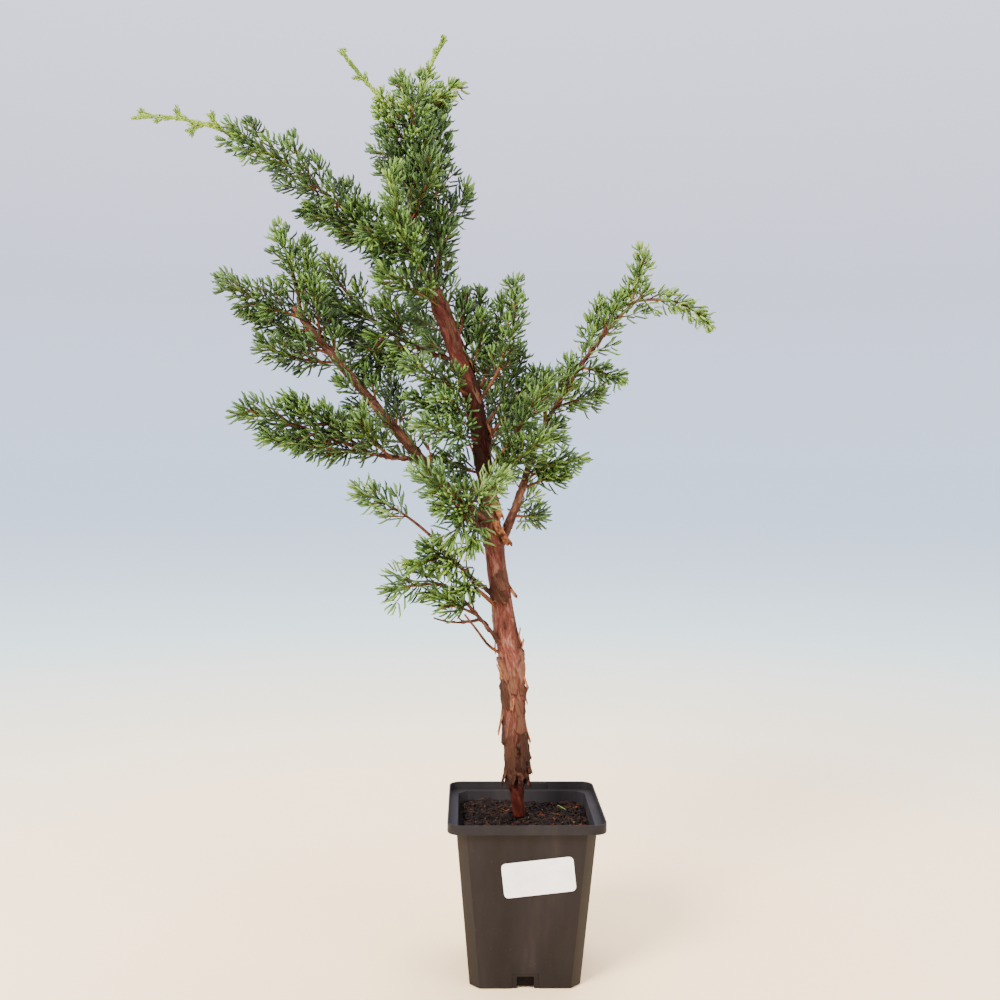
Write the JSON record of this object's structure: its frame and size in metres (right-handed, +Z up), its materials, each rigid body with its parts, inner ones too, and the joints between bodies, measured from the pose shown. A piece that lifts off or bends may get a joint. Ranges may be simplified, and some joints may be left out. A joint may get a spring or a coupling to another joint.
{
  "type": "potted juniper",
  "caption": "Young needle-leaved juniper with a slim leaning trunk and open sprays of short needles, in a square tapered plastic nursery pot of soil with a blank label.",
  "frame": {"origin": "middle of the pot's flat underside", "axes": "+Z up the plant, +X to the right and +Y away for someone who faces the label"},
  "size_m": [0.4069, 0.1718, 0.6724],
  "materials": {
    "pot": "dusty warm charcoal injection-moulded plastic",
    "soil": "dark peat with bark bits, grit and fibres",
    "label": "blank white sticker",
    "bark": "cinnamon bark that peels in grey-tan strips",
    "needles": "green needles, paler at the shoot tips"
  },
  "bodies": {
    "root": {"back_bough": "bark", "back_foliage": "needles", "back_left_foliage": "needles", "back_low_foliage": "needles", "bare_twig": "bark", "centre_inner_foliage": "needles", "centre_left_bough": "bark", "centre_left_lower": "needles", "centre_left_tip": "needles", "centre_left_upper": "needles", "centre_low_foliage": "needles", "collar_foliage": "needles", "front_bough": "bark", "front_left_foliage": "needles", "front_lower_foliage": "needles", "front_right_foliage": "needles", "front_top_foliage": "needles", "front_upper_foliage": "needles", "inner_right_foliage": "needles", "inner_right_side": "needles", "label": "label", "leader": "bark", "left_back_foliage": "needles", "left_bough": "bark", "left_tip_foliage": "needles", "left_top_foliage": "needles", "left_under_foliage": "needles", "left_upright_foliage": "needles", "low_bough": "bark", "low_side_foliage": "needles", "low_tuft": "needles", "lower_left_bough": "bark", "lower_left_foliage": "needles", "lower_left_inner": "needles", "lowest_bough": "bark", "lowest_foliage": "needles", "pot": "pot", "right_arm": "bark", "right_arm_foliage": "needles", "right_arm_spire": "needles", "right_arm_tip": "needles", "right_arm_upper": "needles", "right_bough": "bark", "right_low_foliage": "needles", "right_side_foliage": "needles", "right_top_bough": "bark", "right_top_foliage": "needles", "right_under_foliage": "needles", "soil": "soil", "top_crown": "needles", "top_left_foliage": "needles", "top_left_whip": "needles", "top_right_foliage": "needles", "top_spire": "needles", "trunk": "bark", "upper_left_bough": "bark", "upper_left_foliage": "needles", "upright_foliage": "needles", "upright_small_spray": "needles"}
  },
  "joints": []
}
